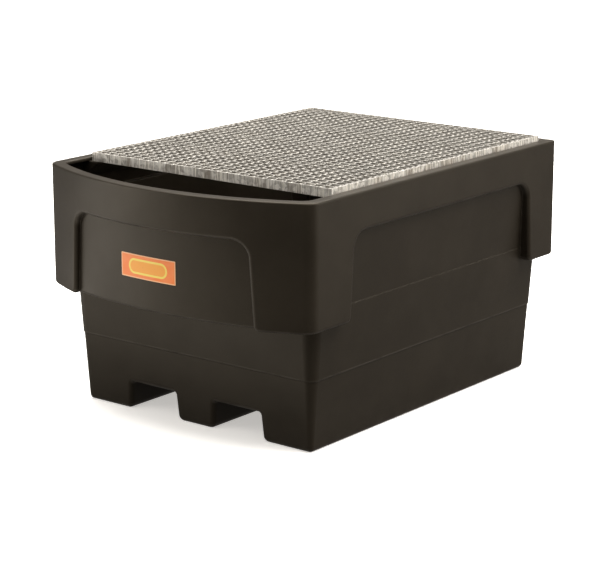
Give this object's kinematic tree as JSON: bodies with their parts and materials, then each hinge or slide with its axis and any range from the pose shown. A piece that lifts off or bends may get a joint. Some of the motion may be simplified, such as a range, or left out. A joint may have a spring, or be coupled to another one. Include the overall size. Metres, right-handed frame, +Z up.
{
  "type": "spill containment pallet",
  "caption": "Moulded plastic sump with a bulged front filling bay, forklift pockets and a lift-off galvanised steel grating that carries one bulk liquid container.",
  "frame": {"origin": "on the floor, under the middle of the object's box", "axes": "+Z up, -Y towards the bulged front wall with the filling bay, +X to the right seen from the front"},
  "size_m": [1.114, 1.549, 0.848],
  "materials": {
    "sump_plastic": "rotationally moulded polyethylene, dark brown-black, satin",
    "plate": "blank orange plate with a plain yellow ring",
    "galvanised_steel": "hot-dip galvanised, spangled and weathered",
    "galvanised_rods": "hot-dip galvanised",
    "galvanised_band": "hot-dip galvanised, with vertical zinc runs"
  },
  "bodies": {
    "sump": {"tub": "sump_plastic", "name_plate": "plate"},
    "grating": {"bearing_bar_01": "galvanised_steel", "bearing_bar_02": "galvanised_steel", "bearing_bar_03": "galvanised_steel", "bearing_bar_04": "galvanised_steel", "bearing_bar_05": "galvanised_steel", "bearing_bar_06": "galvanised_steel", "bearing_bar_07": "galvanised_steel", "bearing_bar_08": "galvanised_steel", "bearing_bar_09": "galvanised_steel", "bearing_bar_10": "galvanised_steel", "bearing_bar_11": "galvanised_steel", "bearing_bar_12": "galvanised_steel", "bearing_bar_13": "galvanised_steel", "bearing_bar_14": "galvanised_steel", "bearing_bar_15": "galvanised_steel", "bearing_bar_16": "galvanised_steel", "bearing_bar_17": "galvanised_steel", "bearing_bar_18": "galvanised_steel", "bearing_bar_19": "galvanised_steel", "bearing_bar_20": "galvanised_steel", "bearing_bar_21": "galvanised_steel", "bearing_bar_22": "galvanised_steel", "bearing_bar_23": "galvanised_steel", "bearing_bar_24": "galvanised_steel", "bearing_bar_25": "galvanised_steel", "bearing_bar_26": "galvanised_steel", "bearing_bar_27": "galvanised_steel", "bearing_bar_28": "galvanised_steel", "bearing_bar_29": "galvanised_steel", "bearing_bar_30": "galvanised_steel", "bearing_bar_31": "galvanised_steel", "bearing_bar_32": "galvanised_steel", "bearing_bar_33": "galvanised_steel", "bearing_bar_34": "galvanised_steel", "bearing_bar_35": "galvanised_steel", "cross_rods": "galvanised_rods", "banding_bar_front": "galvanised_band", "banding_bar_rear": "galvanised_band", "banding_bar_left": "galvanised_band", "banding_bar_right": "galvanised_band"}
  },
  "joints": [
    {"name": "grating_lift", "type": "slide", "parent": "sump", "child": "grating", "axis": [0, 0, 1], "range_m": [0, 0.3]}
  ]
}
